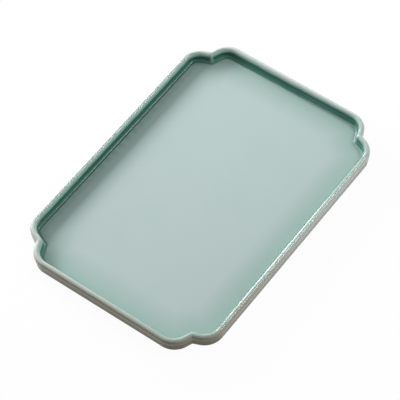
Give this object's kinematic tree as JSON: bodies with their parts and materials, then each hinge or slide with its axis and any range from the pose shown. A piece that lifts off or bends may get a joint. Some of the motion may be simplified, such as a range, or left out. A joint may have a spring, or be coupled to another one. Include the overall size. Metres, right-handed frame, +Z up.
{
  "type": "tea tray",
  "caption": "Shallow rectangular glazed ceramic tray with a low rounded rim, indented corners and soft anti-slip pads underneath, for standing a small teapot and cups on.",
  "frame": {"origin": "centre of the tray's footprint, on the surface that the pads stand on", "axes": "+X along the long side, +Y along the short side towards the back, +Z up"},
  "size_m": [0.33, 0.23, 0.017],
  "materials": {
    "celadon_glaze": "glossy pale blue-green celadon glaze over a buff body, bare on the ground face of the foot ring",
    "soft_pad": "soft matt milky silicone"
  },
  "bodies": {
    "root": {"tray_body": "celadon_glaze", "foot_pad_front_left": "soft_pad", "foot_pad_front_right": "soft_pad", "foot_pad_back_left": "soft_pad", "foot_pad_back_right": "soft_pad"}
  },
  "joints": []
}
